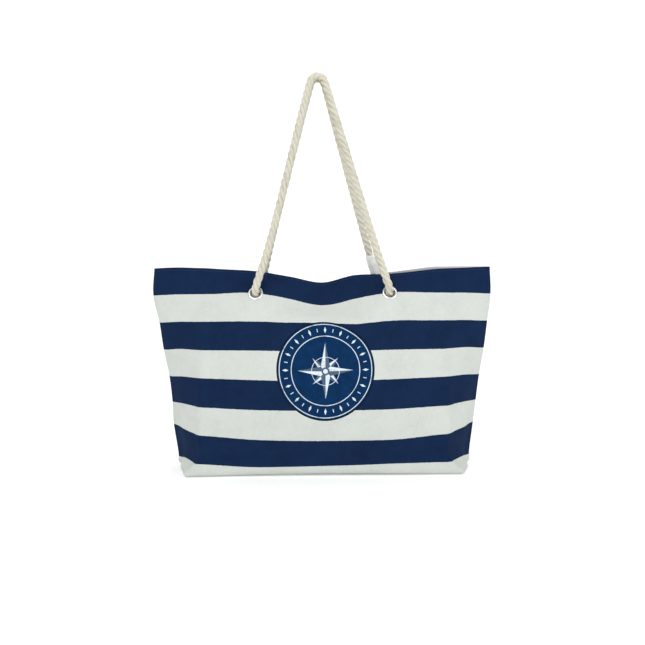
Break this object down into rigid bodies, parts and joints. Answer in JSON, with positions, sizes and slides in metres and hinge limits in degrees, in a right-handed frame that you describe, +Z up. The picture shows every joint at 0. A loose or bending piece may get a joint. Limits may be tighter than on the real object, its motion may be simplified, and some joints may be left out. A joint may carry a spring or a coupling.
{
  "type": "beach bag",
  "caption": "Striped canvas beach bag with a boxed base, metal eyelets and twisted rope handles that swing outwards, standing with its handles held up together.",
  "frame": {"origin": "middle of the base, on the surface that the bag stands on", "axes": "+Z up; the front panel with the round print faces -Y; X runs across the bag, with its left handle leg at -X"},
  "size_m": [0.56, 0.1626, 0.6501],
  "materials": {
    "striped_canvas": "woven cotton canvas, navy and white stripes",
    "lining_cloth": "thin plain weave, light grey",
    "eyelet_metal": "bright nickel plate",
    "cotton_rope": "twisted cotton, three strands, natural",
    "rope_sleeve": "smooth shrunk sleeve, light grey"
  },
  "bodies": {
    "bag": {"front_panel": "striped_canvas", "front_lining": "lining_cloth", "front_eyelet_left": "eyelet_metal", "front_washer_left": "eyelet_metal", "front_knot_left": "cotton_rope", "front_eyelet_right": "eyelet_metal", "front_washer_right": "eyelet_metal", "front_knot_right": "cotton_rope", "back_panel": "striped_canvas", "back_lining": "lining_cloth", "back_eyelet_left": "eyelet_metal", "back_washer_left": "eyelet_metal", "back_knot_left": "cotton_rope", "back_eyelet_right": "eyelet_metal", "back_washer_right": "eyelet_metal", "back_knot_right": "cotton_rope"},
    "front_handle": {"front_rope": "cotton_rope"},
    "back_handle": {"back_rope": "cotton_rope", "back_rope_sleeve": "rope_sleeve"}
  },
  "joints": [
    {"name": "front_handle_swing", "type": "hinge", "parent": "bag", "child": "front_handle", "pos_m": [0, -0.0577, 0.28875], "axis": [1, 0, 0], "range_deg": [0, 145]},
    {"name": "back_handle_swing", "type": "hinge", "parent": "bag", "child": "back_handle", "pos_m": [0, 0.0577, 0.28875], "axis": [-1, 0, 0], "range_deg": [0, 145]}
  ]
}
